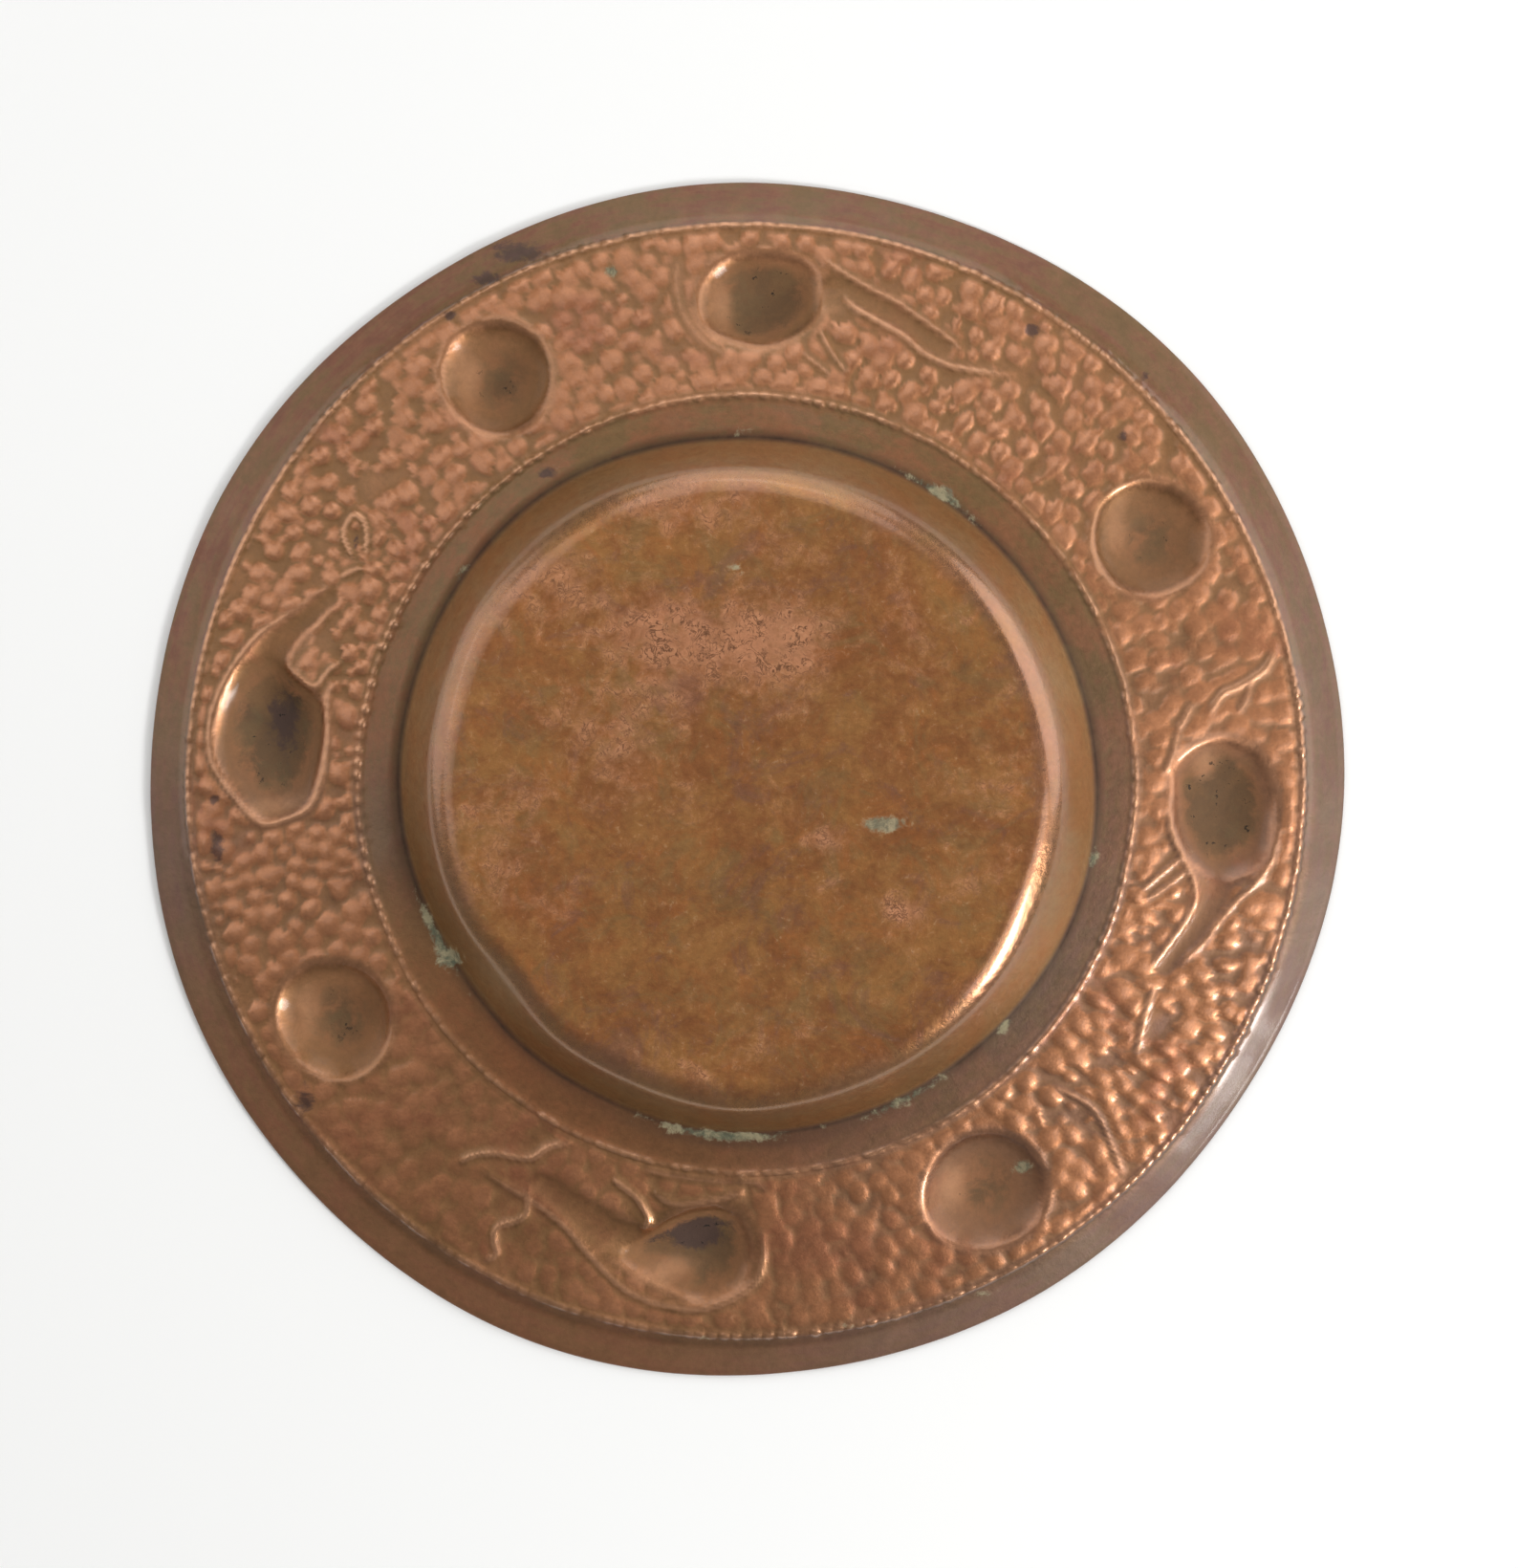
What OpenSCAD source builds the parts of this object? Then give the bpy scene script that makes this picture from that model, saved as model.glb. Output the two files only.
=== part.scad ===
// Round tray beaten from one sheet of copper, lying face down on its rim.
// Z = 0 is the table that the rim lies on, and the flat back of the well is uppermost.
// What shows from above is the tray's underside: bosses and fish are hollows there,
// and stand out on the face below.

/* [Overall] */
// Diameter across the rim, before the waviness of its hand-cut edge
tray_d = 200; // [160:1:300]
// Height from the table to the back of the well
tray_h = 17; // [14:0.5:26]
// Thickness of the copper sheet
sheet_t = 0.9; // [0.6:0.1:1.4]

/* [Bands, from the edge inwards] */
// Width of the plain rim outside the outer beading
rim_w = 7.3; // [5:0.1:12]
// Width of the decorated border between the two rows of beading
border_w = 28.3; // [23:0.1:36]
// Width of the plain ledge between the inner beading and the well's wall
ledge_w = 7; // [4:0.1:12]
// Width of the well's sloping wall, seen from above
wall_w = 7; // [5:0.1:12]

/* [Heights] */
// How far the border falls from the inner beading to the outer beading
border_fall = 3.8; // [1:0.1:4.5]
// How far the ledge falls from the well's wall to the inner beading
ledge_fall = 0.6; // [0:0.1:1.5]
// Gap left between the bosses and the table
boss_gap = 0.2; // [0:0.1:1]

/* [Corners] */
// Outside radius of the worn shoulder between the well's wall and its flat back
shoulder_r = 6; // [2:0.1:7]

/* [Beading] */
// Width of each beaded ridge
bead_w = 1.5; // [1:0.1:2]
// Height of each beaded ridge above the sheet
bead_h = 0.45; // [0.2:0.05:0.6]

/* [Round bosses] */
// Number of bosses, and of fish, round the border
boss_count = 4; // [2:1:4]
// Diameter of a boss at its rim
boss_d = 19.6; // [14:0.2:22]
// Depth of a boss
boss_depth = 4.2; // [3.2:0.1:5.2]
// Angle of the first boss
boss_angle = 30.8; // [0:0.1:90]

/* [Fish] */
// Angle of the first fish's nose
nose_angle = 4.5; // [0:0.1:14]
// Length of a fish, along the middle of the border
fish_len = 56; // [40:1:60]
// Width of a fish's body, across the border
fish_w = 15.5; // [10:0.5:19]
// Width of a fish's tail across its fork
tail_w = 11; // [6:0.5:18]
// Depth of the notch in a fish's tail
fork_depth = 4; // [1:0.5:8]
// Depth of a fish's outline
fish_depth = 1; // [0.6:0.1:1.5]
// Depth of a fish's full belly
belly_depth = 4.2; // [3:0.1:4.2]
// Diameter of the round of a fish's belly
belly_d = 16.5; // [12:0.5:19]
// Distance from a fish's nose back to the middle of its belly
belly_back = 10.5; // [8:0.5:16]

/* [Hand-cut edge] */
// Distance of the edge's centre from the well's centre
edge_shift = 0.2; // [0:0.1:1.5]
// Half the difference between the tray's longest and shortest diameters
edge_oval = 0.8; // [0:0.1:1.5]
// Size of the three-sided unevenness of the edge
edge_three = 0.3; // [0:0.1:1]
// Size of the shallow flats along the edge
edge_flats = 0.25; // [0:0.05:0.6]

/* [Hidden] */
$fn = 96;

copper = [0.60, 0.34, 0.22];
turn = 360 / boss_count;
edge_side = 3; // degrees between the corners of the cut edge
margin = 3; // how far the plain round blank runs past the cut edge
ease_steps = 6;
arc_steps = 8;
nose_steps = 6;
tail_steps = 9;
// Directions in which the edge bulges: whole turn, oval, three-sided and flats
shift_way = 190;
oval_way = 47;
three_way = 19;
flat_way = 354;
flat_number = 7;

// Radii, from the edge inwards
edge_r = tray_d / 2;
outer_bead_r = edge_r - rim_w;
inner_bead_r = outer_bead_r - border_w;
foot_r = inner_bead_r - ledge_w;
brow_r = foot_r - wall_w;
mid_r = (outer_bead_r + inner_bead_r) / 2;

// Heights of the upper surface. The bosses set how high the border lies.
mid_z = boss_gap + sheet_t + max(boss_depth, belly_depth);
outer_bead_z = mid_z - border_fall / 2;
inner_bead_z = mid_z + border_fall / 2;
foot_z = inner_bead_z + ledge_fall;
wall_tilt = atan2(tray_h - foot_z, wall_w);

function border_z(r) = mid_z - (r - mid_r) * border_fall / border_w;

// The rim falls evenly to the edge, and a little more steeply beside the beading.
function rim_point(u) = [
    outer_bead_r + u * rim_w,
    sheet_t + (outer_bead_z - sheet_t) * (0.8 * (1 - u) + 0.2 * pow(1 - u, 4))
];

// The shoulder's arc meets the flat back and the wall without a corner.
shoulder_run = shoulder_r * tan(wall_tilt / 2);
function shoulder_point(a) = [
    brow_r - shoulder_run + shoulder_r * sin(a),
    tray_h - shoulder_r * (1 - cos(a))
];

// Upper surface of the sheet from its centre to past the cut edge
upper = [
    [0, tray_h],
    for (i = [0 : arc_steps]) shoulder_point(wall_tilt * i / arc_steps),
    [foot_r, foot_z],
    [inner_bead_r, inner_bead_z],
    for (i = [0 : ease_steps]) rim_point(i / ease_steps),
    [edge_r + margin, sheet_t]
];

// Unit vector square to the line from one point to another, on its lower side
function below(a, b) = let (d = b - a) [d.y, -d.x] / norm(d);

// Point of the sheet's face that lies one thickness below a point of its upper surface
function face_point(i) =
    let (last = len(upper) - 1)
    i == 0 ? upper[0] - [0, sheet_t] :
    i == last ? upper[last] - [0, sheet_t] :
    let (
        m = below(upper[i - 1], upper[i]),
        n = below(upper[i], upper[i + 1])
    )
    upper[i] + sheet_t * (m + n) / (1 + m * n);

face = [for (i = [len(upper) - 1 : -1 : 0]) face_point(i)];

// Radius of a ball that presses a hollow of a given rim diameter and depth
function ball_r(d, depth) = (d * d / 4 + depth * depth) / (2 * depth);

// Distance of the cut edge from the centre, in one direction
function edge_at(a) = edge_r
    + edge_shift * cos(a - shift_way)
    + edge_oval * cos(2 * (a - oval_way))
    + edge_three * cos(3 * (a - three_way))
    + edge_flats * cos(flat_number * (a - flat_way));

// Half the width of a fish: a round head and body, a narrow wrist and a flared tail
body_share = 2 * belly_back / fish_len;
wrist_share = 0.84;
wrist_w = 3.4;
function smooth(t) = t * t * (3 - 2 * t);
function fish_half(s) =
    s < body_share / 2 ? fish_w / 2 * sqrt(1 - pow(1 - 2 * s / body_share, 2)) :
    s < wrist_share ? let (t = (s - body_share / 2) / (wrist_share - body_share / 2))
        fish_w / 2 + (wrist_w - fish_w) / 2 * smooth(t) :
    wrist_w / 2 + (tail_w - wrist_w) / 2 * (s - wrist_share) / (1 - wrist_share);

// A point beside the fish's middle line, which bends with the border
along_turn = 180 / (PI * mid_r);
function beside(x, side) = let (a = -x * along_turn, r = mid_r + side)
    [r * cos(a), r * sin(a)];

// Places along a fish, close together round its nose
nose_shares = [for (i = [1 : nose_steps]) body_share / 2 * (1 - cos(90 * i / nose_steps))];
tail_shares = [for (i = [1 : tail_steps])
    body_share / 2 + (1 - body_share / 2) * i / tail_steps];
shares = concat(nose_shares, tail_shares);

// Outline of a fish whose nose points to angle zero, grown outwards all round
module fish_outline(grow) {
    reach = fish_len + 2 * grow;
    last = len(shares) - 1;
    polygon([
        beside(-grow, 0),
        for (s = shares) beside(s * reach - grow, fish_half(s) + grow),
        beside(reach - grow - fork_depth, 0),
        for (i = [last : -1 : 0])
            beside(shares[i] * reach - grow, -fish_half(shares[i]) - grow)
    ]);
}

// Layer of the border between two depths, measured down from its upper surface
module border_layer(top, bottom) {
    inner = inner_bead_r + bead_w / 2;
    outer = outer_bead_r - bead_w / 2;
    rotate_extrude()
        polygon([
            [inner, border_z(inner) - top],
            [outer, border_z(outer) - top],
            [outer, border_z(outer) - bottom],
            [inner, border_z(inner) - bottom]
        ]);
}

module each_boss() {
    for (i = [0 : boss_count - 1])
        rotate(boss_angle + i * turn)
            children();
}

module each_fish() {
    for (i = [0 : boss_count - 1])
        rotate(nose_angle + i * turn)
            children();
}

// Ball that presses a round hollow into the border at distance x back from angle zero
module pressing_ball(x, d, depth, grow) {
    r = ball_r(d, depth);
    place = beside(x, 0);
    translate([place.x, place.y, mid_z - depth + r])
        sphere(r + grow);
}

module pressing_balls(grow) {
    each_boss()
        pressing_ball(0, boss_d, boss_depth, grow);
    each_fish()
        pressing_ball(belly_back, belly_d, belly_depth, grow);
}

module fish_layer(top, bottom, grow) {
    intersection() {
        border_layer(top, bottom);
        each_fish()
            linear_extrude(tray_h)
                fish_outline(grow);
    }
}

// Ridge of beading on the upper side, or the matching groove in the face
module beading(r, z, w, h) {
    ring = ball_r(w, h);
    rotate_extrude()
        intersection() {
            translate([r, z + h - ring])
                circle(ring);
            translate([r - w, z - sheet_t / 2])
                square([2 * w, sheet_t]);
        }
}

module blank() {
    rotate_extrude()
        polygon(concat(upper, face));
}

module cut_edge() {
    translate([0, 0, -margin])
        linear_extrude(tray_h + 2 * margin)
            polygon([for (a = [0 : edge_side : 360 - edge_side])
                edge_at(a) * [cos(a), sin(a)]]);
}

// The pressed copper starts from the middle of the sheet's thickness.
module pressed_border() {
    difference() {
        union() {
            blank();
            fish_layer(sheet_t / 2, fish_depth + sheet_t, sheet_t);
            intersection() {
                border_layer(sheet_t / 2, border_z(inner_bead_r));
                pressing_balls(sheet_t);
            }
        }
        pressing_balls(0);
        fish_layer(-bead_w, fish_depth, 0);
    }
}

module tray_sheet() {
    color(copper)
        intersection() {
            difference() {
                union() {
                    pressed_border();
                    beading(inner_bead_r, inner_bead_z, bead_w, bead_h);
                    beading(outer_bead_r, outer_bead_z, bead_w, bead_h);
                }
                beading(inner_bead_r, inner_bead_z - sheet_t, bead_w * 0.6, bead_h * 0.6);
                beading(outer_bead_r, outer_bead_z - sheet_t, bead_w * 0.6, bead_h * 0.6);
            }
            cut_edge();
        }
}

tray_sheet();
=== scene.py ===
# A round tray beaten from one sheet of copper, lying face down on a pale table.
# Lengths in the dictionaries are millimetres, and angles are degrees turned left from +X.
import math
import bpy
import numpy as np
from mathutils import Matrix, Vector


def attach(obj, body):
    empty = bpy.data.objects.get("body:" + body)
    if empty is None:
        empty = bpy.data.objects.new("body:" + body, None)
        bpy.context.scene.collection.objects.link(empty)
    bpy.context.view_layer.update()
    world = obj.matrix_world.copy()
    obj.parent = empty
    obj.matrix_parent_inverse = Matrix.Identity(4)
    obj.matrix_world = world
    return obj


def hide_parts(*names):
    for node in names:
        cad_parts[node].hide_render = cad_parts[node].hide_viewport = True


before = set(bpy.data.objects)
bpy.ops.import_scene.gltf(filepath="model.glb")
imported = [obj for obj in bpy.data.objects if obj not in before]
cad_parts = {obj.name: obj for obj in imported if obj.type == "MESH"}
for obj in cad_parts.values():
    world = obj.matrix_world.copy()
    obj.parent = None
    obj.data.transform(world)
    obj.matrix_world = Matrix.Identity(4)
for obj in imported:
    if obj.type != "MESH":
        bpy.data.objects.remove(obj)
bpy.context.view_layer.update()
mm = 0.001


# One node socket that can be used in ordinary sums
class Wire:
    def __init__(self, bench, socket):
        self.bench, self.socket = bench, socket

    def sum(self, operation, *terms):
        return self.bench.node("ShaderNodeMath", {"operation": operation}, dict(enumerate(terms)))

    def __add__(self, other): return self.sum("ADD", self, other)
    def __radd__(self, other): return self.sum("ADD", other, self)
    def __sub__(self, other): return self.sum("SUBTRACT", self, other)
    def __rsub__(self, other): return self.sum("SUBTRACT", other, self)
    def __mul__(self, other): return self.sum("MULTIPLY", self, other)
    def __rmul__(self, other): return self.sum("MULTIPLY", other, self)
    def __truediv__(self, other): return self.sum("DIVIDE", self, other)
    def __rtruediv__(self, other): return self.sum("DIVIDE", other, self)
    def __pow__(self, other): return self.sum("POWER", self, other)
    def least(self, other): return self.sum("MINIMUM", self, other)
    def most(self, other): return self.sum("MAXIMUM", self, other)
    def above(self, other): return self.sum("GREATER_THAN", self, other)

    def held(self):  # kept between 0 and 1
        return self.bench.node("ShaderNodeClamp", {}, {0: self, 1: 0.0, 2: 1.0})

    def rise(self, start, end):  # smooth step from 0 at start to 1 at end
        return self.bench.node("ShaderNodeMapRange", {"interpolation_type": "SMOOTHSTEP"},
                               {0: self, 1: start, 2: end, 3: 0.0, 4: 1.0})


# Puts nodes into one tree
class Bench:
    def __init__(self, tree):
        self.tree = tree

    def node(self, kind, settings=None, sockets=None, out=0):
        made = self.tree.nodes.new(kind)
        for name, value in (settings or {}).items():
            setattr(made, name, value)
        for key, value in (sockets or {}).items():
            if isinstance(value, Wire):
                self.tree.links.new(value.socket, made.inputs[key])
            else:
                made.inputs[key].default_value = value
        return Wire(self, made.outputs[out]) if made.outputs else made

    def vector(self, operation, *terms, out=0):
        sockets = {(3 if operation == "SCALE" and i == 1 else i): t for i, t in enumerate(terms)}
        return self.node("ShaderNodeVectorMath", {"operation": operation}, sockets, out)

    def noise(self, place, scale, detail=3.0, rough=0.55, twist=0.0, out=0):
        return self.node("ShaderNodeTexNoise", {},
                         {"Vector": place, "Scale": scale, "Detail": detail, "Roughness": rough,
                          "Distortion": twist}, out)

    def tint(self, share, under, over, blend="MIX"):
        return self.node("ShaderNodeMix", {"data_type": "RGBA", "blend_type": blend},
                         {0: share, 6: under, 7: over}, out=2)


def colour(red, green, blue):  # from screen values of 0 to 255
    def linear(v):
        v /= 255
        return v / 12.92 if v <= 0.04045 else ((v + 0.055) / 1.055) ** 2.4
    return (linear(red), linear(green), linear(blue), 1.0)


# Sizes of the sheet's form
sheet = {
    "across": 200, "height": 17, "thickness": 0.9,
    "rim": 7.3, "border": 28.3, "ledge": 7, "wall": 7,     # widths of the bands, from the edge in
    "borderFall": 3.8, "ledgeFall": 0.6, "borderMiddle": 5.3,
    "shoulder": 6, "cornerEase": 0.4,
    "edgeShift": (0.2, 190), "edgeOval": (0.8, 47), "edgeThree": (0.3, 19), "edgeFlats": (0.25, 354),
}
edgeR = sheet["across"] / 2
outerR = edgeR - sheet["rim"]
innerR = outerR - sheet["border"]
footR = innerR - sheet["ledge"]
browR = footR - sheet["wall"]
middleR = (outerR + innerR) / 2


def turnBetween(a, b):  # smallest turn from b to a, in degrees
    return (a - b + 180) % 360 - 180


def swell(theta, bumps):  # uneven places round a circle: (angle, half width, amount)
    total = np.zeros_like(theta)
    for angle, half, amount in bumps:
        total += amount * np.exp(-(turnBetween(theta, angle) / half) ** 2)
    return total


# Height of the upper side at each distance from the centre, with its corners eased
def makeProfile():
    s = sheet
    outerZ = s["borderMiddle"] - s["borderFall"] / 2
    innerZ = s["borderMiddle"] + s["borderFall"] / 2
    footZ = innerZ + s["ledgeFall"]
    tilt = math.atan2(s["height"] - footZ, s["wall"])
    run = s["shoulder"] * math.tan(tilt / 2)
    bend = np.linspace(0, tilt, 20)
    u = np.linspace(0.1, 1, 10)
    r = np.concatenate([[0], browR - run + s["shoulder"] * np.sin(bend), [footR, innerR, outerR],
                        outerR + u * s["rim"], [edgeR + 4]])
    rimZ = s["thickness"] + (outerZ - s["thickness"]) * (0.8 * (1 - u) + 0.2 * (1 - u) ** 4)
    z = np.concatenate([[s["height"]], s["height"] - s["shoulder"] * (1 - np.cos(bend)),
                        [footZ, innerZ, outerZ], rimZ, [s["thickness"]]])
    step = 0.05
    fine = np.arange(0, edgeR + 3, step)
    level = np.interp(fine, r, z)
    reach = int(4 * s["cornerEase"] / step)
    window = np.exp(-(np.arange(-reach, reach + 1) * step / s["cornerEase"]) ** 2 / 2)
    level = np.convolve(np.pad(level, reach, "reflect", reflect_type="odd"), window / window.sum(), "valid")
    return fine, level, np.gradient(level, step)


profileR, profileZ, profileSlope = makeProfile()

# How the beaten sheet wanders from true circles
wander = {
    "brow": [(112, 30, 1.4), (148, 12, 0.8), (218, 9, -2.2), (268, 14, 1.3), (340, 14, -1.1), (20, 20, -0.5)],
    "foot": [(125, 22, 1.2), (215, 22, -1.3), (245, 10, -0.6), (340, 20, 0.7)],
    "innerBeads": [(95, 25, 0.3), (200, 12, -0.3), (300, 18, 0.25), (350, 8, -0.3)],
    "outerBeads": [(182, 20, 0.3), (40, 14, -0.25), (250, 12, 0.3), (330, 9, -0.2)],
}


def edgeWander(theta):
    total = np.zeros_like(theta)
    for name, number in (("edgeShift", 1), ("edgeOval", 2), ("edgeThree", 3), ("edgeFlats", 7)):
        size, way = sheet[name]
        total += size * np.cos(np.radians(number * (theta - way)))
    return total


def wanderAt(r, theta):
    total = np.zeros_like(r)
    stops = [(0, None), (browR - 8, None), (browR, "brow"), (footR, "foot"), (innerR, "innerBeads"),
             (middleR, None), (outerR, "outerBeads"), (edgeR, "edge")]
    sizes = [edgeWander(theta) if name == "edge" else swell(theta, wander.get(name, [])) for _, name in stops]
    for i in range(len(stops) - 1):
        low, high = stops[i][0], stops[i + 1][0]
        here = (r >= low) & (r <= high)
        share = np.clip((r - low) / (high - low), 0, 1)
        mixed = sizes[i] + (sizes[i + 1] - sizes[i]) * share
        total = np.where(here, mixed, total)
    return np.where(r > edgeR, sizes[-1], total)


def smoothLine(points, closed=False, steps=7):  # a soft curve through (angle, distance) points
    a = np.radians([p[0] for p in points])
    d = np.array([p[1] for p in points], float)
    p = np.stack([d * np.cos(a), d * np.sin(a)], 1)
    if closed:
        p = np.vstack([p[-1], p, p[0], p[1]])
    else:
        p = np.vstack([2 * p[0] - p[1], p, 2 * p[-1] - p[-2]])
    line = []
    for i in range(1, len(p) - 2):
        b, c = p[i], p[i + 1]
        for u in np.arange(steps) / steps:
            line.append(0.5 * (2 * b + (c - p[i - 1]) * u + (2 * p[i - 1] - 5 * b + 4 * c - p[i + 2]) * u ** 2
                               + (3 * b - p[i - 1] - 3 * c + p[i + 2]) * u ** 3))
    line.append(p[-2])
    return np.array(line)


def nearLine(spots, line):  # distance to the line, and how far along it the nearest place is
    best, along = np.full(len(spots), 99.0), np.zeros(len(spots))
    for i in range(len(line) - 1):
        d = line[i + 1] - line[i]
        u = np.clip((spots - line[i]) @ d / max(d @ d, 1e-9), 0, 1)
        away = np.linalg.norm(spots - line[i] - u[:, None] * d, axis=1)
        nearer = away < best
        best[nearer] = away[nearer]
        along[nearer] = (i + u[nearer]) / (len(line) - 1)
    return best, along


# Round bosses, pressed into the border from the other side: (angle, distance, radius at the rim)
bosses = {
    "places": [(31.7, 78.4, 9.5), (121.3, 79.1, 9.2), (209.4, 78.9, 9.8), (300.5, 78.5, 10.2)],
    "depth": 4.0, "lip": 0.25, "stain": 2.7,
}

# Each fish: the outline of its belly, a body that tapers to the tail, and the lines drawn round it.
# An outline's point is (angle, distance), and a body's is (angle, distance, depth, half width).
# A line is (height, half width, points).
fish = {
    "left": {
        "belly": [(165.8, 86.1), (169, 87.9), (175, 88.7), (179.3, 86.5), (183.7, 80.5), (182.2, 73.3),
                  (175.7, 70.5), (169.2, 71), (166.4, 75.4), (165.2, 79), (164.2, 82.4)],
        "depth": 4.0,
        "body": [(169, 81.5, 2.6, 5.5), (164, 80.8, 1.2, 3.8), (159.5, 78.3, 0.5, 2.4),
                 (155.5, 76, 0.25, 1.4)],
        "lines": [
            (0.6, 0.75, [(152.6, 75.6), (157.7, 79.1), (162.2, 84.1), (165.4, 86.5), (169, 88.3),
                         (172, 89.4), (175, 89.4), (178, 88.2), (182, 83.8), (184.3, 80.5), (183.9, 76.5),
                         (182.6, 72.6), (179.5, 70.7), (175.7, 69.9), (171.8, 70), (168.5, 70.8),
                         (166.3, 70.6), (165.6, 69.6)]),
            (0.55, 0.7, [(162.4, 69.6), (164.1, 71.6), (166.8, 73.3), (166.3, 76.4), (165.2, 78.6),
                         (163.5, 78.7), (160.9, 77.4), (159.1, 75.9), (156, 74.4)]),
            (0.7, 0.6, [(149.7, 73.4), (149, 76.5), (147.4, 78.8), (145.2, 79.1), (145.1, 77), (146.5, 75),
                        (149.5, 73.4)]),
            (-1.1, 0.42, [(147.5, 77.2), (149.9, 73.6)]),
            (-1.0, 0.38, [(146.1, 77.6), (148.8, 73.9)]),
            (0.5, 0.8, [(152.6, 75.6), (151.2, 74.4), (150, 73)]),
        ],
    },
    "top": {
        "belly": [(95.7, 79.9), (94.6, 84.3), (91.6, 87.5), (87.5, 88.1), (83.9, 87.5), (81.8, 84.9),
                  (81.2, 79.9), (83, 75.6), (87.1, 72.5), (91.9, 73.4), (94.9, 76)],
        "depth": 4.0,
        "body": [(82.5, 82, 0.4, 3.0), (78.5, 82.8, 0.22, 2.4), (73, 81.6, 0.22, 1.6),
                 (66, 79.3, 0.15, 1.2)],
        "lines": [
            (0.3, 0.9, [(97.4, 88), (98, 83.1), (97.6, 78.4), (95.6, 73.7), (92.5, 70.9)]),
            (0.55, 0.55, [(81.9, 88.3), (79.7, 86.5), (75.5, 84.4), (72.7, 83.7), (70.1, 82.6),
                          (66.1, 81.3), (63.6, 80.4)]),
            (0.75, 0.6, [(79.1, 82.4), (76.6, 80.7), (73.5, 79.5), (70.8, 78.7), (67.8, 77.2), (64.7, 77),
                         (61.3, 78.3), (56.6, 81.2)]),
            (0.5, 0.5, [(81, 76.4), (78.9, 72.9), (76.5, 70.2)]),
            (0.45, 0.5, [(82.8, 72.1), (80.1, 70.2), (78.6, 69.2)]),
        ],
    },
    "right": {
        "belly": [(5.9, 78.9), (5.1, 74.4), (2.6, 71), (358.5, 70.7), (354.3, 71.7), (350.4, 75.2),
                  (348.6, 79.8), (349.9, 84.4), (352, 87), (355.4, 88.1), (358.8, 88.1), (3.2, 85.8),
                  (5, 82.6)],
        "depth": 4.0,
        "body": [(351, 79.5, 0.7, 3.6), (347, 79.2, 0.28, 2.6), (342.5, 77.8, 0.18, 1.8),
                 (337, 75.8, 0.15, 1.2)],
        "lines": [
            (0.5, 0.6, [(7.6, 71.8), (5.2, 71), (1.9, 69.2)]),
            (0.6, 0.6, [(359.1, 69.9), (354.3, 70.8), (350.7, 73.6), (348.4, 75.8), (346.2, 77),
                        (343.6, 76.6), (340.5, 75.3), (337.5, 74.1), (335.9, 73.5)]),
            (0.6, 0.6, [(356.2, 88.9), (352.3, 88.3), (349.3, 86.3), (347, 83.9), (343.6, 81.5),
                        (341.3, 80.4), (337.3, 77.5)]),
            (0.6, 0.45, [(351.5, 73.8), (348.2, 70.3), (345.2, 67.6)]),
            (0.6, 0.45, [(349.6, 74.8), (346.8, 71.7), (344.1, 68.8)]),
            (0.7, 0.6, [(334.1, 75.5), (330.5, 76.4), (327, 78), (325.3, 79)]),
            (0.6, 0.9, [(14.7, 90.5), (12.9, 88.2), (11.6, 83.1), (11.2, 80.4), (9, 77.4)]),
            (0.5, 0.8, [(10.9, 75), (9.1, 73.4), (7.6, 71.8)]),
            (0.45, 0.8, [(12.6, 86.5), (10.2, 84.2), (8.7, 82.5)]),
        ],
    },
    "bottom": {
        "belly": [(254.5, 81.8), (256.9, 77), (260.3, 72.6), (265.4, 70.2), (269.1, 71.4), (270.8, 76.9),
                  (270.3, 81.4), (268.7, 84.6), (264.7, 87), (261.3, 86), (257.8, 84.3)],
        "depth": 4.0,
        "body": [(258, 80, 1.7, 4.6), (253, 78.4, 0.6, 3.4), (248, 76.6, 0.3, 2.6), (243, 75, 0.2, 1.6)],
        "lines": [
            (0.6, 0.7, [(234.9, 78.1), (239, 78), (243.1, 78.2), (247.4, 79.7), (251, 82.5), (255.6, 86.4),
                        (258.7, 87.9), (261.5, 88.4), (264.4, 88.5), (267.6, 86.9), (270.9, 83.5),
                        (272, 78.8), (271.9, 73.2)]),
            (0.55, 0.7, [(256.9, 69.4), (260.1, 70.7), (265.4, 69.2), (269.5, 67.6)]),
            (0.45, 0.6, [(254.9, 65.9), (257.7, 66), (264.1, 65.8), (270.6, 65.8), (273, 67.5)]),
            (0.9, 0.55, [(251, 68.9), (252.5, 69.7), (254.8, 70.9), (256.8, 73.3), (257.2, 75),
                         (256.6, 76.7)]),
            (0.7, 0.7, [(232.6, 79.3), (233.4, 76.8), (235.7, 74.1), (239.7, 71.8), (241.2, 68.5),
                        (243.8, 66)]),
            (0.7, 0.7, [(241, 76.4), (242.5, 79.4), (242.4, 81.8), (240.5, 85), (241, 87.5), (241.9, 88.9),
                        (241, 91.4)]),
        ],
    },
}
strays = [(0.5, 0.6, [(315.7, 70.8), (317.1, 78.8), (315.6, 85.3), (314, 91)])]  # lines by themselves
deepest = 4.2       # where a belly and its body run together
bellyStain = 4.6    # how strongly a belly is stained, as a depth


def pressing(share):  # depth of a hollow, from its middle at 0 to its rim at 1
    return np.clip(1 - np.clip(share, 0, 1) ** 2.1, 0, 1) ** 1.05


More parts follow.
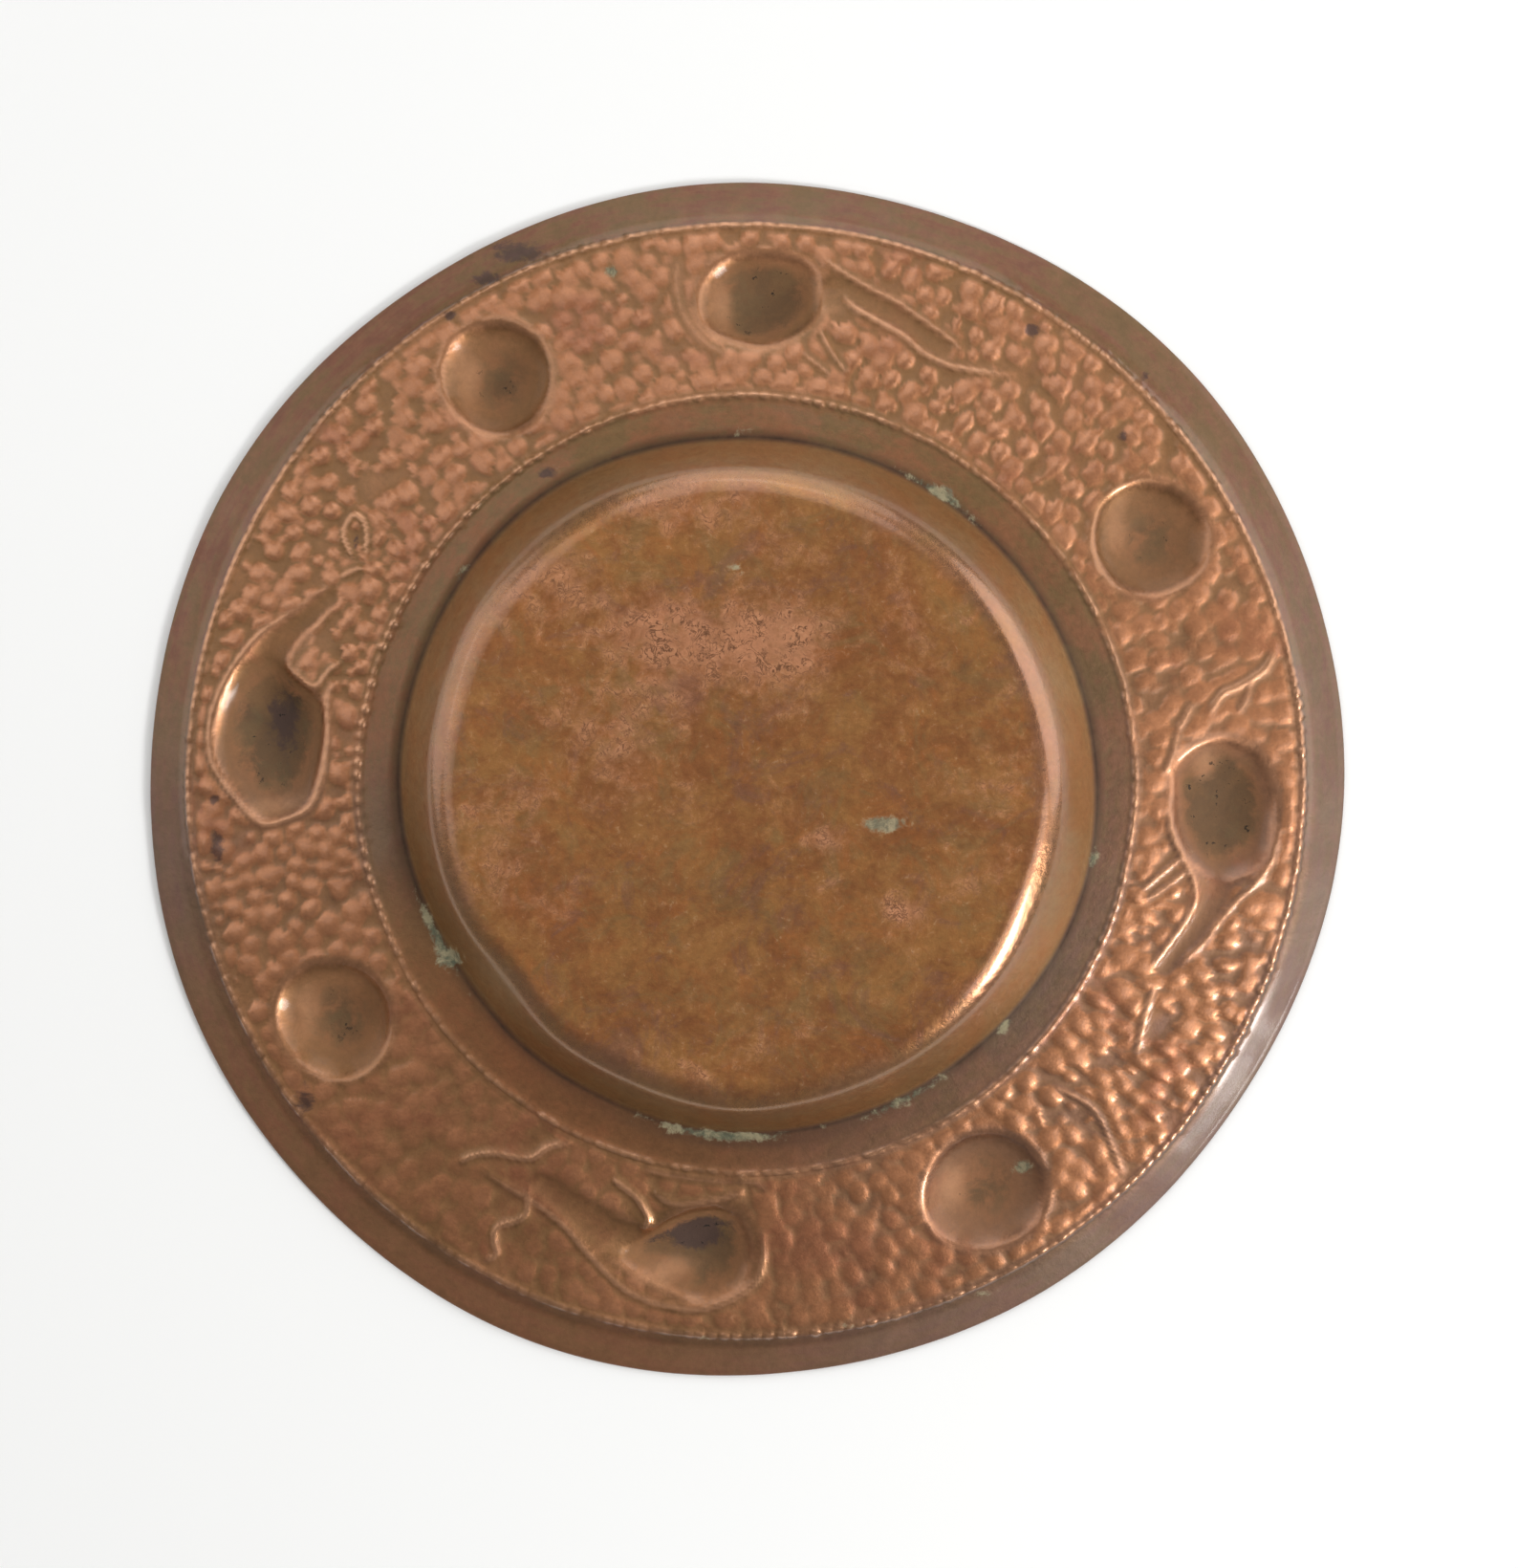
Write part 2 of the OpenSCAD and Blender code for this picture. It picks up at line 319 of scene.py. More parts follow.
# Relief of the border and how much room it leaves for the hammered ground
def reliefAt(spots):
    lift = np.zeros(len(spots))
    ground = np.ones(len(spots))
    sunk = np.zeros(len(spots))
    away = np.linalg.norm(spots, axis=1)
    inBorder = np.where((away > innerR - 2) & (away < outerR + 2))[0]
    p = spots[inBorder]
    depth, lip, stain, room = (np.full(len(p), start) for start in (0.0, 0.0, 0.0, 1.0))
    for angle, distance, radius in bosses["places"]:
        middle = distance * np.array([math.cos(math.radians(angle)), math.sin(math.radians(angle))])
        d = p - middle
        r = np.linalg.norm(d, axis=1)
        way = np.arctan2(d[:, 1], d[:, 0])
        rim = radius * (1 + 0.02 * np.cos(2 * way + angle) + 0.015 * np.cos(3 * way - angle))
        depth = np.maximum(depth, bosses["depth"] * pressing(r / rim))
        stain = np.maximum(stain, bosses["stain"] * pressing(r / rim))
        lip = np.maximum(lip, bosses["lip"] * np.exp(-((r - rim - 0.6) / 0.9) ** 2))
        room = np.minimum(room, np.clip((r - rim - 0.3) / 1.6, 0, 1))
    for form in fish.values():
        outline = smoothLine(form["belly"], closed=True)
        middle = outline.mean(0)
        d, e = p - middle, outline - middle
        around = np.arctan2(e[:, 1], e[:, 0])
        order = np.argsort(around)
        rim = np.interp(np.arctan2(d[:, 1], d[:, 0]), around[order],
                        np.linalg.norm(e, axis=1)[order], period=2 * np.pi)
        r = np.linalg.norm(d, axis=1)
        belly = form["depth"] * pressing(r / rim)
        room = np.minimum(room, np.clip((r - rim - 0.4) / 1.6, 0, 1))
        body = np.array(form["body"])
        line = smoothLine(form["body"])
        share = np.linspace(0, 1, len(body))
        gap, along = nearLine(p, line)
        deep, half = np.interp(along, share, body[:, 2]), np.interp(along, share, body[:, 3])
        blended = (belly ** 2.2 + (deep * pressing(gap / half)) ** 2.2) ** (1 / 2.2)      # a soft join
        depth = np.maximum(depth, np.minimum(blended, deepest))
        stain = np.maximum(stain, bellyStain * pressing(r / rim))
        room = np.minimum(room, np.clip((gap - half) / 1.2, 0, 1))
    for height, half, points in [l for form in fish.values() for l in form["lines"]] + strays:
        line = smoothLine(points)
        near = np.where((np.abs(p - line.mean(0)) < np.ptp(line, axis=0) / 2 + 8).all(1))[0]
        gap, along = nearLine(p[near], line)
        ends = np.clip(np.minimum(along, 1 - along) / 0.12, 0, 1) ** 0.5
        blows = np.linalg.norm(np.diff(line, axis=0), axis=1).sum() / 2.3      # along the line
        lumps = 0.94 + 0.06 * np.cos(2 * np.pi * along * blows + 5 * np.sin(3 * along + line[0, 0]))
        rise = height * np.exp(-(gap / half) ** 2) * ends * lumps
        if height > 0:
            lip[near] = np.maximum(lip[near], rise)
            room[near] = np.minimum(room[near], np.clip((gap - half * 0.9) / 1.0, 0, 1) + 1 - ends)
        else:
            lip[near] += rise
    lift[inBorder] = lip - depth
    ground[inBorder] = room
    sunk[inBorder] = np.maximum(depth * 0.6, stain)
    return lift, ground, sunk


# Where round the border the work is crisp, where its marks are drawn out, and where beads stand apart
character = {
    "crisp": (0.6, [(58, 18, 0.3), (162, 30, 0.42), (95, 20, 0.05), (228, 22, -0.3), (278, 16, -0.2),
                     (328, 22, 0.25), (10, 10, -0.15)]),
    "drawn": (0.0, [(328, 22, 0.32), (10, 9, 0.35), (272, 14, 0.25), (232, 16, 0.2)]),
    "outerClear": (0.12, [(331, 18, 0.9), (8, 6, 0.8), (279, 11, 0.8), (140, 8, 0.3), (60, 10, 0.2)]),
    "innerClear": (0.15, [(170, 28, 0.85), (125, 10, 0.5), (330, 25, 0.3), (75, 12, 0.25)]),
}


# Rings of the upper side from the centre out, each a distance and a number of corners
def upperRings():
    rings = [(1.5, 15), (3, 30), (4.6, 30), (6.4, 60), (8.4, 60), (10.6, 60)]
    rings += [(r, 120) for r in np.arange(12.8, 24, 2.2)]
    rings += [(r, 240) for r in np.arange(24.6, 46.5, 2.0)]
    rings += [(r, 480) for r in np.arange(47.3, 58.6, 0.52)]
    rings += [(r, 480) for r in (59.6, 60.9, 62.2, 63.1)]
    rings += [(r, 960) for r in np.arange(63.45, 65.4, 0.28)]
    rings += [(r, 960) for r in np.arange(65.95, 91.4, 0.66)]
    rings += [(r, 1920) for r in np.arange(91.75, 93.7, 0.32)]
    rings += [(94.0, 960), (94.7, 960)] + [(r, 480) for r in np.arange(95.5, 99.5, 0.8)]
    return rings + [(99.75, 480)]


# Rings of the face, from the edge in
def lowerRings():
    rings = [(r, 480) for r in (99.75, 98.6, 97.4, 96.2, 95.0, 94.0, 93.3, 92.7, 92.1)]
    rings += [(r, 480) for r in np.arange(91.2, 65.4, -1.3)]
    rings += [(r, 480) for r in (64.9, 64.4, 63.9, 62.8)]
    rings += [(r, 240) for r in (61.0, 59.2, 58.0, 57.4, 56.8, 55.8, 54.4, 53.0,
                                 51.8, 50.8, 49.9, 49.0, 47.8, 45.6)]
    rings += [(r, 120) for r in np.arange(43, 22, -3.4)] + [(19, 60), (14, 60), (9, 30), (4.5, 15)]
    return rings


# Faces between two rings. The first is the nearer to the middle of the upper side.
def bandFaces(first, countA, second, countB):
    faces = []
    if countA == countB:
        for k in range(countA):
            n = (k + 1) % countA
            faces.append((first + k, second + k, second + n, first + n))
    elif countB == 2 * countA:
        for k in range(countA):
            n = (k + 1) % countA
            a, b, c = second + 2 * k, second + 2 * k + 1, second + (2 * k + 2) % countB
            faces += [(first + k, a, b), (first + k, b, first + n), (first + n, b, c)]
    else:
        for k in range(countB):
            n = (k + 1) % countB
            a, b, c = first + 2 * k, first + 2 * k + 1, first + (2 * k + 2) % countA
            faces += [(a, second + k, b), (b, second + k, second + n), (b, second + n, c)]
    return faces


def layOut():
    thick = sheet["thickness"]
    # A row is (distance, number of corners, share of the thickness down)
    rows = [(0.0, 1, 0.0)] + [(r, n, 0.0) for r, n in upperRings()]
    rows += [(edgeR, 480, 0.22), (edgeR, 480, 0.78)]
    rows += [(r, n, 1.0) for r, n in lowerRings()] + [(0.0, 1, 1.0)]
    r = np.concatenate([np.full(n, d) for d, n, _ in rows])
    theta = np.concatenate([np.arange(n) * 360 / n for _, n, _ in rows])
    down = np.concatenate([np.full(n, s) for _, n, s in rows]) * thick
    starts = np.cumsum([0] + [n for _, n, _ in rows])
    faces = []
    for i in range(len(rows) - 1):
        a, b = rows[i][1], rows[i + 1][1]
        if a == 1:
            faces += [(0, starts[1] + k, starts[1] + (k + 1) % b) for k in range(b)]
        elif b == 1:
            faces += [(starts[i] + k, starts[i + 1], starts[i] + (k + 1) % a) for k in range(a)]
        else:
            faces += bandFaces(starts[i], a, starts[i + 1], b)
    return r, theta, down, faces


def makeSheet():
    r, theta, down, faces = layOut()
    a = np.radians(theta)
    level = np.interp(r, profileR, profileZ)
    slope = np.interp(r, profileR, profileSlope)
    tall = np.sqrt(1 + slope ** 2)
    across, upright = -slope / tall, 1 / tall                            # the sheet's own upward direction
    home = np.stack([r * np.cos(a), r * np.sin(a)], 1)
    lift, ground, sunk = reliefAt(home)
    out = r + wanderAt(r, theta) - down * across
    up = level - down * upright
    place = np.stack([out * np.cos(a), out * np.sin(a), up], 1)
    way = np.stack([across * np.cos(a), across * np.sin(a), upright], 1)
    ways = {name: np.clip(base + swell(theta, places), 0, 1) for name, (base, places) in character.items()}
    clear = np.where(r > middleR, ways["outerClear"], ways["innerClear"])
    mesh = bpy.data.meshes.new("traySheet")
    mesh.from_pydata((place * mm).tolist(), [], faces)
    flat = np.zeros_like(place)
    flat[:, :2] = home
    for name, kind, values in (("home", "FLOAT_VECTOR", flat * mm), ("way", "FLOAT_VECTOR", way),
                               ("relief", "FLOAT", lift * mm), ("ground", "FLOAT", ground),
                               ("sunk", "FLOAT", sunk), ("crisp", "FLOAT", ways["crisp"]),
                               ("drawn", "FLOAT", ways["drawn"]), ("clear", "FLOAT", clear)):
        layer = mesh.attributes.new(name, kind, "POINT")
        part = "vector" if kind == "FLOAT_VECTOR" else "value"
        layer.data.foreach_set(part, values.ravel().astype(np.float32))
    print("sheet:", len(place), "points,", sum(len(f) - 2 for f in faces), "triangles")
    return mesh


# Sizes of the hammer marks and beading that are laid over the sheet
marks = {
    "Mark Spacing": 3.0 * mm, "Mark Radius": 2.25 * mm, "Mark Height": 0.68 * mm,
    "Small Spacing": 2.0 * mm, "Small Radius": 1.25 * mm, "Small Height": 0.42 * mm,
    "Bare Ground": 0.22, "Planish Depth": 0.16 * mm,
    "Outer Beads": 300, "Inner Beads": 186, "Bead Radius": 0.95 * mm, "Bead Height": 0.32 * mm,
    "Bead Ridge": 0.3 * mm, "Seed": 11,
}


def makeHammering(finish):
    tree = bpy.data.node_groups.new("hammering", "GeometryNodeTree")
    bench = Bench(tree)
    tree.interface.new_socket("Geometry", in_out="INPUT", socket_type="NodeSocketGeometry")
    for name, value in marks.items():
        kind = "NodeSocketInt" if isinstance(value, int) else "NodeSocketFloat"
        tree.interface.new_socket(name, in_out="INPUT", socket_type=kind)
    tree.interface.new_socket("Geometry", in_out="OUTPUT", socket_type="NodeSocketGeometry")
    gate = tree.nodes.new("NodeGroupInput")
    given = {s.name: Wire(bench, s) for s in gate.outputs if s.name}

    def stored(name, kind="FLOAT"):
        return bench.node("GeometryNodeInputNamedAttribute", {"data_type": kind}, {"Name": name})

    def chance(low, high, seed, kind="FLOAT"):  # a random value for each point
        first = {"FLOAT_VECTOR": 0, "FLOAT": 2}[kind]
        return bench.node("FunctionNodeRandomValue", {"data_type": kind},
                          {first: low, first + 1: high, "Seed": seed}, out=0 if first == 0 else 1)

    def sample(points, value, index, kind="FLOAT"):
        return bench.node("GeometryNodeSampleIndex", {"data_type": kind, "domain": "POINT"},
                          {"Geometry": points, "Value": value, "Index": index})

    def nearest(points, place):
        return bench.node("GeometryNodeSampleNearest", {"domain": "POINT"},
                          {"Geometry": points, "Sample Position": place})

    home, way = stored("home", "FLOAT_VECTOR"), stored("way", "FLOAT_VECTOR")
    relief, ground, crisp = stored("relief"), stored("ground"), stored("crisp")
    drawn, clear = stored("drawn"), stored("clear")
    outwards = bench.vector("NORMALIZE", home)
    position = bench.node("GeometryNodeInputPosition")
    away = bench.vector("LENGTH", home, out=1)
    inside = away.rise((innerR + 0.5) * mm, (innerR + 1.6) * mm)
    inBorder = inside * (1.0 - away.rise((outerR - 1.6) * mm, (outerR - 0.5) * mm))

    # Marks lie closely but not in rows. Each is an oval dome with its own size and height.
    oval, bigWobble, smallWobble = 0.42, 0.45 * mm, 0.35 * mm

    def domes(size, seed, wobble):
        spacing, radius, height = (given[size + part] for part in (" Spacing", " Radius", " Height"))
        disc = bench.node("GeometryNodeMeshCircle", {"fill_type": "NGON"},
                          {"Vertices": 128, "Radius": 94 * mm})
        points = bench.node("GeometryNodeDistributePointsOnFaces", {"distribute_method": "POISSON"},
                            {"Mesh": disc, "Distance Min": spacing, "Density Max": 16.0 / (spacing * spacing),
                             "Seed": seed})
        bent = bench.noise(home, 230.0, 0.0, out=1)
        bent = bench.vector("SCALE", bench.vector("SUBTRACT", bent, (0.5, 0.5, 0.5)), wobble)
        spot = bench.vector("ADD", home, bent)
        index = nearest(points, spot)
        offset = bench.vector("SUBTRACT", spot, sample(points, position, index, "FLOAT_VECTOR"))
        lean = chance((-oval, -oval, 0.0), (oval, oval, 0.0), seed + 1, "FLOAT_VECTOR")
        lean = sample(points, lean, index, "FLOAT_VECTOR")
        leaning = bench.vector("DOT_PRODUCT", offset, lean, out=1)
        offset = bench.vector("SUBTRACT", offset, bench.vector("SCALE", lean, leaning))
        pulled = bench.vector("DOT_PRODUCT", offset, outwards, out=1) * drawn
        offset = bench.vector("SUBTRACT", offset, bench.vector("SCALE", outwards, pulled))
        own = sample(points, chance(0.75, 1.1, seed + 2), index)
        share = (bench.vector("LENGTH", offset, out=1) / (radius * own * (1.2 - crisp * 0.33))).least(1.0)
        tall = sample(points, chance(0.65, 1.1, seed + 3), index)
        present = sample(points, chance(0.0, 1.0, seed + 4), index)
        return ((1.0 - share ** 2.2) ** 0.75) * tall * height, present

    big, bigChance = domes("Mark", given["Seed"], bigWobble)
    small, smallChance = domes("Small", given["Seed"] + 20, smallWobble)
    bare = bench.noise(home, 70.0, 1.0).rise(0.52, 0.64) * given["Bare Ground"]
    big = big * bigChance.above(bare + 0.04)
    small = small * smallChance.above(0.45)
    hammered = big.most(small) * inBorder * ground * (crisp * 0.85 + 0.12)

    # Beads stand a little unevenly along a low ridge.
    stray, ridgeHalf = 0.3 * mm, 0.85 * mm

    def beading(radius, count, seed):
        ring = bench.node("GeometryNodeMeshCircle", {"fill_type": "NONE"},
                          {"Vertices": count, "Radius": radius})
        jitter = chance((-stray, -stray, 0.0), (stray, stray, 0.0), seed, "FLOAT_VECTOR")
        ring = bench.node("GeometryNodeSetPosition", {}, {"Geometry": ring, "Offset": jitter})
        index = nearest(ring, home)
        offset = bench.vector("SUBTRACT", home, sample(ring, position, index, "FLOAT_VECTOR"))
        gap = bench.vector("LENGTH", offset, out=1)
        tall = sample(ring, chance(0.3, 1.2, seed + 1), index)
        bead = ((1.0 - (gap / given["Bead Radius"]).least(1.0) ** 2.0) ** 0.7) * tall * given["Bead Height"]
        off = (away - radius) / ridgeHalf
        ridge = given["Bead Ridge"] * ((1.0 - (off * off).least(1.0)) ** 1.5)
        low = bench.noise(home, 240.0, 2.0).rise(0.3, 0.7)
        return bead * (0.2 + clear * 0.8) + ridge * (1.0 - clear * 0.45) * (0.5 + low * 0.8)

    beads = beading(outerR * mm, given["Outer Beads"], given["Seed"] + 40)
    beads = beads + beading(innerR * mm, given["Inner Beads"], given["Seed"] + 50)
    planish = (bench.noise(home, 95.0, 1.5, 0.5) - 0.5) * given["Planish Depth"]
    planish = planish * (1.0 + away.rise(outerR * mm, (outerR + 2) * mm))                # deeper on the rim
    planish = planish + (bench.noise(home, 24.0, 1.0, 0.5) - 0.5) * given["Planish Depth"] * 3.0
    lift = relief + hammered + beads + planish

    moved = bench.node("GeometryNodeSetPosition", {},
                       {"Geometry": given["Geometry"], "Offset": bench.vector("SCALE", way, lift)})
    for name, value in (("lift", lift), ("mark", hammered)):
        moved = bench.node("GeometryNodeStoreNamedAttribute", {"data_type": "FLOAT", "domain": "POINT"},
                           {"Geometry": moved, "Name": name, "Value": value})
    real = bench.node("GeometryNodeRealizeInstances", {}, {"Geometry": moved})
    dressed = bench.node("GeometryNodeSetMaterial", {}, {"Geometry": real, "Material": finish})
    tree.links.new(dressed.socket, tree.nodes.new("NodeGroupOutput").inputs[0])
    return tree


def beat(mesh, finish):
    rough = bpy.data.objects.new("rough", mesh)
    bpy.context.scene.collection.objects.link(rough)
    tree = makeHammering(finish)
    modifier = rough.modifiers.new("hammering", "NODES")
    modifier.node_group = tree
    for socket in tree.interface.items_tree:
        if socket.in_out == "INPUT" and socket.name in marks:
            modifier[socket.identifier] = marks[socket.name]
    bpy.context.view_layer.update()
    ready = rough.evaluated_get(bpy.context.evaluated_depsgraph_get())
    plain = bpy.data.meshes.new_from_object(ready)
    plain.name = "tray"
    rough.modifiers.clear()
    bpy.data.objects.remove(rough)
    return plain


# Values that a mesh holds for its points
def readPoints(mesh, name, size=1):
    values = np.zeros(len(mesh.vertices) * size, np.float32)
    mesh.attributes[name].data.foreach_get("vector" if size == 3 else "value", values)
    return values.reshape(-1, size) if size > 1 else values


def softened(values, ends, rounds):  # each point drifts towards its neighbours
    count = np.bincount(ends.ravel(), minlength=len(values))
    for _ in range(rounds):
        total = np.bincount(ends[:, 0], values[ends[:, 1]], len(values))
        total = total + np.bincount(ends[:, 1], values[ends[:, 0]], len(values))
        values = 0.4 * values + 0.6 * total / np.maximum(count, 1)
    return values


# Where the groove's painted shadow, the shoulder's wear and painted highlight, warm colour and a painted
# lilac reflection differ round the tray: (angle, half width, strength)
shares = {
    "grooveWide": [(265, 30, 0.9), (195, 15, 0.4)],
    "handledAndLit": [(25, 38, 0.75), (328, 16, 0.7), (168, 25, 0.5), (105, 20, 0.3), (225, 25, 0.2)],
    "warm": [(240, 45, 0.9), (285, 20, 0.3)],
    # a painted reflection of the window, mostly at the lower right
    "lilacReflection": [(328, 34, 0.75), (10, 20, 0.2), (285, 15, 0.3), (187, 12, 0.5)],
}
crusts = [(57, 7, 0.9), (90, 3, 0.4), (143, 3, 0.6), (206, 8, 0.95), (266, 13, 1.0),
          (297, 10, 0.8), (317.5, 2.5, 0.7), (348.5, 2, 0.9)]
fullHill = 0.15     # a bump or hollow of this height counts in full
# Stains, rubbed places and painted highlights on the lit walls of the hollows: (x, y, half length, half
# height, strength)
patches = {
    "rubbed": [(7, 25, 12, 8, 1.0), (-14, 24, 12, 8, 0.85), (-23, 8, 7, 7, 0.8), (-32, 36, 12, 8, 0.6),
               (-11, 46, 10, 4, 0.8), (8, 40, 8, 4, 0.4), (27, 26, 7, 5, 0.4), (-1, 5, 2.5, 1.5, 0.7),
               (14, -8, 5, 3, 0.7), (26, -19, 3.5, 2, 0.7), (16, -16, 3, 3, 0.5), (-38, -6, 6, 12, 0.4)],
    "litHollowWall": [(61.3, 43.5, 2.2, 4.2, 1.0), (-46.3, 68.8, 2.2, 4, 1.0), (-74, -37.5, 2, 4, 0.8),
               (34.5, -67.5, 2.5, 4.5, 1.0), (-4.2, 80, 2, 4.5, 1.0), (-79, -3.4, 5, 1.8, 1.0),
               (76.5, 4, 2.2, 3, 1.0), (-13.5, -81.8, 5, 2.3, 1.0)],
    "dark": [(-12, 33, 10, 4, 0.9), (0, -1, 3, 2.5, 0.8), (-10, 12, 4, 4, 0.8), (12, 16, 8, 3, 0.5),
             (4, -16, 7, 5, 0.7), (28, -16, 4, 3, 0.6), (12, 38, 8, 5, 0.5), (0, -40, 30, 6, 0.5),
             (-38, 88.5, 5, 2, 1.0), (-43, 84, 3, 2, 0.8), (-9.5, -75.7, 6, 3.6, 1.0),
             (-78, 10.5, 3.6, 8, 0.8), (62, 58, 1.2, 1.0, 1.0), (66, 68, 0.9, 0.8, 0.9),
             (-49, 78, 1.2, 1.0, 1.0), (47, 75.5, 1.3, 0.9, 0.9), (-32.6, 51.3, 1.8, 1.0, 1.0),
             (-88, -10, 2, 3, 0.7), (-74, -52, 2, 3, 0.6), (-88, -2, 1, 1, 0.8),
             (-64.5, 40.8, 0.6, 1.8, 1.0)],
    "green": [(-50.2, -28.8, 2.4, 1.8, 1.2), (33, 49.3, 3.5, 1.0, 0.8), (22.5, -5.2, 4.2, 1.5, 1.2),
              (13, -9, 1.2, 1.0, 0.8), (8, -12, 3, 0.8, 0.6), (-1.7, 36.9, 1.6, 1.3, 0.7),
              (28, 12, 2.5, 1.8, 0.4), (-22.2, 85, 1.3, 1.1, 1.0), (46.6, -64.2, 1.8, 1.8, 1.0),
              (17, -91, 3, 0.9, 0.6), (40, -86, 2.5, 0.9, 0.5), (-7, -93, 2, 0.8, 0.5),
              (-30.6, 52, 1.0, 0.6, 0.8)],
}


def addWear(mesh):
    ends = np.zeros(len(mesh.edges) * 2, np.int32)
    mesh.edges.foreach_get("vertices", ends)
    ends = ends.reshape(-1, 2)
    home = readPoints(mesh, "home", 3) / mm
    lift = readPoints(mesh, "lift") / mm
    away = np.hypot(home[:, 0], home[:, 1])
    theta = np.degrees(np.arctan2(home[:, 1], home[:, 0])) % 360
    hill = lift - softened(lift, ends, 10)
    found = {"crevice": np.clip(-hill / fullHill, 0, 1), "crest": np.clip(hill / fullHill, 0, 1)}
    # The groove at the wall's foot: a narrow line of dirt, and a wider painted shadow of the wall on the
    # ledge, mostly at the lower left
    found["groove"] = np.maximum(np.exp(-((away - footR - 0.3) / 0.75) ** 2),
                                 swell(theta, shares["grooveWide"])
                                 * np.exp(-((away - footR - 1.4) / 1.9) ** 2))
    for name, spots in patches.items():
        found[name] = sum(strength * np.exp(-((home[:, 0] - x) / wide) ** 2 - ((home[:, 1] - y) / tall) ** 2)
                          for x, y, wide, tall, strength in spots)
    for name in ("handledAndLit", "warm", "lilacReflection"):
        found[name] = swell(theta, shares[name])
    found["green"] = np.maximum(found["green"], np.clip(swell(theta, crusts), 0, 1)
                                * np.exp(-((away - footR - 0.7) / 1.1) ** 2))
    for name, values in found.items():
        layer = mesh.attributes.new(name, "FLOAT", "POINT")
        layer.data.foreach_set("value", np.clip(values, 0, 1).astype(np.float32))


# Colours of the aged copper
finishes = {
    "brown": colour(148, 93, 53), "gold": colour(167, 116, 65), "rubbed": colour(205, 143, 106),
    "dark": colour(99, 65, 44), "orange": colour(175, 107, 57), "moss": colour(139, 113, 71),
    "plum": colour(130, 90, 75), "polishedSheen": colour(151, 101, 79), "pale": colour(203, 172, 135),
    "rimPlain": colour(131, 92, 66), "rimOlive": colour(114, 88, 57), "rimRed": colour(121, 78, 59),
    "rimWarm": colour(127, 82, 52), "rimLilacReflection": colour(108, 90, 83), "ledgeBrown": colour(139, 93, 63),
    "ledgeOlive": colour(123, 95, 61), "ledgeWarm": colour(144, 90, 56),
    "wallRed": colour(151, 112, 69), "wallGrey": colour(149, 118, 81),
    "top": colour(193, 135, 98), "slope": colour(169, 113, 76), "bottom": colour(134, 96, 60),
    "red": colour(148, 89, 63), "lilacReflection": colour(130, 95, 82), "lineTop": colour(204, 150, 112),
    "hollow": colour(149, 101, 68), "hollowDark": colour(84, 67, 47), "hollowGreen": colour(86, 81, 56),
    "hollowHighlight": colour(198, 147, 109), "stain": colour(74, 56, 52), "groove": colour(58, 40, 26),
    "green": colour(148, 139, 109), "teal": colour(84, 92, 74), "speck": (0.01, 0.008, 0.006, 1),
}


